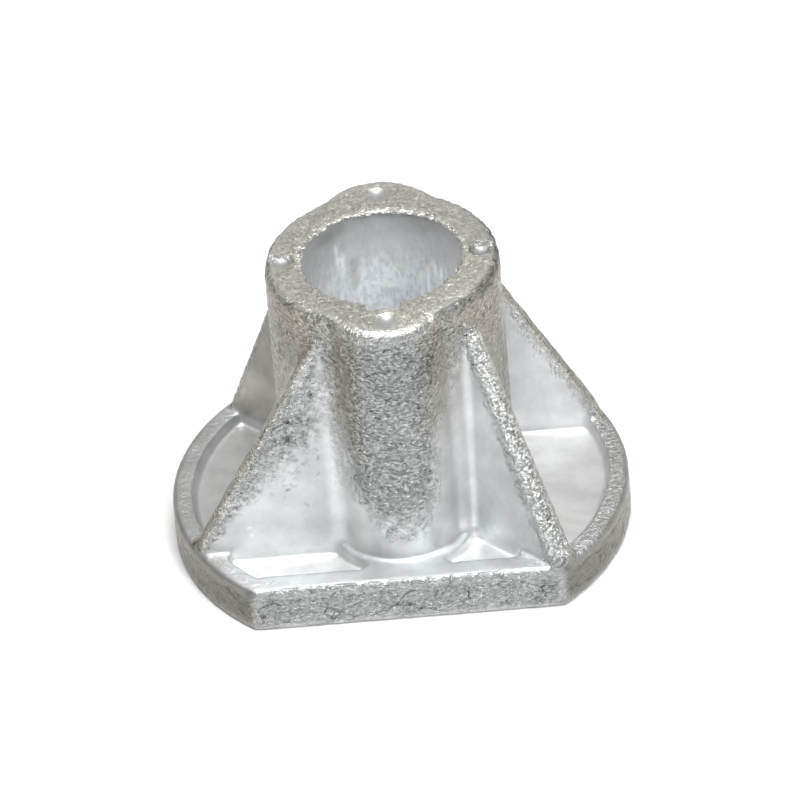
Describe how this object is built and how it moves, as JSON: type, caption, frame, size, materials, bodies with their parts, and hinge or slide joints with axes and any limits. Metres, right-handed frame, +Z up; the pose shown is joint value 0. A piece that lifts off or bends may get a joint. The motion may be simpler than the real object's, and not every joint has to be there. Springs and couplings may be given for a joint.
{
  "type": "stanchion base",
  "caption": "Cast stanchion base: a flat-sided round flange with a raised rim, an upright tube socket with half-round columns, and sloping ribs.",
  "frame": {"origin": "on the socket's axis, in the plane of the flange's underside", "axes": "+Z up along the socket's axis, towards its mouth; +X along the flange's longer side, parallel to its flats; the notched side of the mouth faces -Y"},
  "size_m": [0.071, 0.0526, 0.0501],
  "materials": {
    "cast_aluminium": "bare casting, tumbled: crinkled on its outer faces, satin in its recesses"
  },
  "bodies": {
    "root": {"base_casting": "cast_aluminium"}
  },
  "joints": []
}
